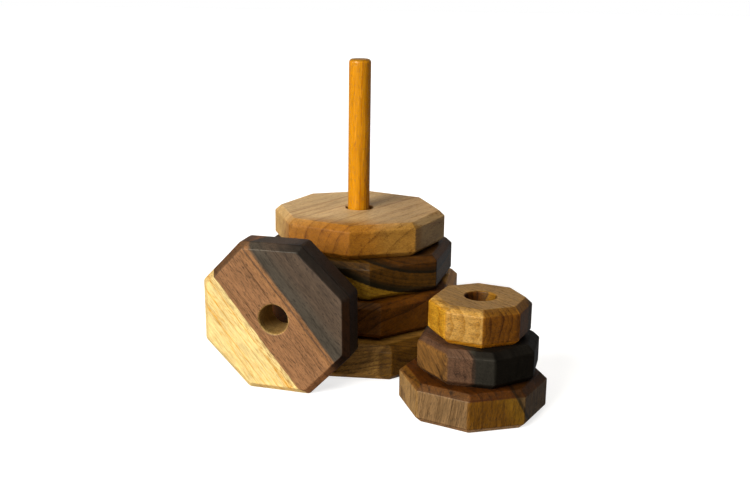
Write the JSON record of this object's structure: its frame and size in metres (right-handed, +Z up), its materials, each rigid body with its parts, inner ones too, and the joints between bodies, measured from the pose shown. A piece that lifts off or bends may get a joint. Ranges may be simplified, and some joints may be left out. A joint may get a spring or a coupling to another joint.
{
  "type": "stacking ring toy",
  "caption": "Wooden stacking toy: octagonal base with a round peg and graduated octagonal rings with bevelled edges, some on the peg and some set down beside it.",
  "frame": {"origin": "centre of the base's underside, on the peg's axis, at the height of the table", "axes": "+Z up along the peg; +Y from the loose pieces towards the tower, so the loose pieces lie on the -Y side; +X to the right as seen from there"},
  "size_m": [0.1794, 0.2072, 0.168],
  "materials": {
    "olive_brown_wood": "satin oiled wood",
    "orange_dowel_wood": "satin oiled wood",
    "red_brown_wood": "satin oiled wood",
    "dark_banded_wood": "satin oiled wood",
    "pale_tan_wood": "satin oiled wood",
    "three_band_wood": "satin oiled wood",
    "striped_brown_wood": "satin oiled wood",
    "near_black_wood": "satin oiled wood",
    "golden_wood": "satin oiled wood"
  },
  "bodies": {
    "base": {"base": "olive_brown_wood", "peg": "orange_dowel_wood"},
    "ring_1": {"ring_1_largest": "red_brown_wood"},
    "ring_2": {"ring_2": "dark_banded_wood"},
    "ring_3": {"ring_3": "pale_tan_wood"},
    "ring_4": {"ring_4_middle": "three_band_wood"},
    "ring_5": {"ring_5": "striped_brown_wood"},
    "ring_6": {"ring_6": "near_black_wood"},
    "ring_7": {"ring_7_smallest": "golden_wood"}
  },
  "joints": [
    {"name": "ring_1_lift", "type": "slide", "parent": "base", "child": "ring_1", "axis": [0, 0, 1], "range_m": [0, 0.15]},
    {"name": "ring_2_lift", "type": "slide", "parent": "ring_1", "child": "ring_2", "axis": [0, 0, 1], "range_m": [0, 0.129]},
    {"name": "ring_3_lift", "type": "slide", "parent": "ring_2", "child": "ring_3", "axis": [0, 0, 1], "range_m": [0, 0.108]},
    {"name": "ring_4_tip", "type": "hinge", "parent": "base", "child": "ring_4", "pos_m": [-0.0418, -0.08243, 0.0032], "axis": [0.9598, -0.2807, 0], "range_deg": [0, 90]},
    {"name": "ring_5_lift", "type": "slide", "parent": "base", "child": "ring_5", "axis": [0, 0, 1], "range_m": [0, 0.17]},
    {"name": "ring_6_lift", "type": "slide", "parent": "ring_5", "child": "ring_6", "axis": [0, 0, 1], "range_m": [0, 0.15]},
    {"name": "ring_7_lift", "type": "slide", "parent": "ring_6", "child": "ring_7", "axis": [0, 0, 1], "range_m": [0, 0.13]}
  ]
}
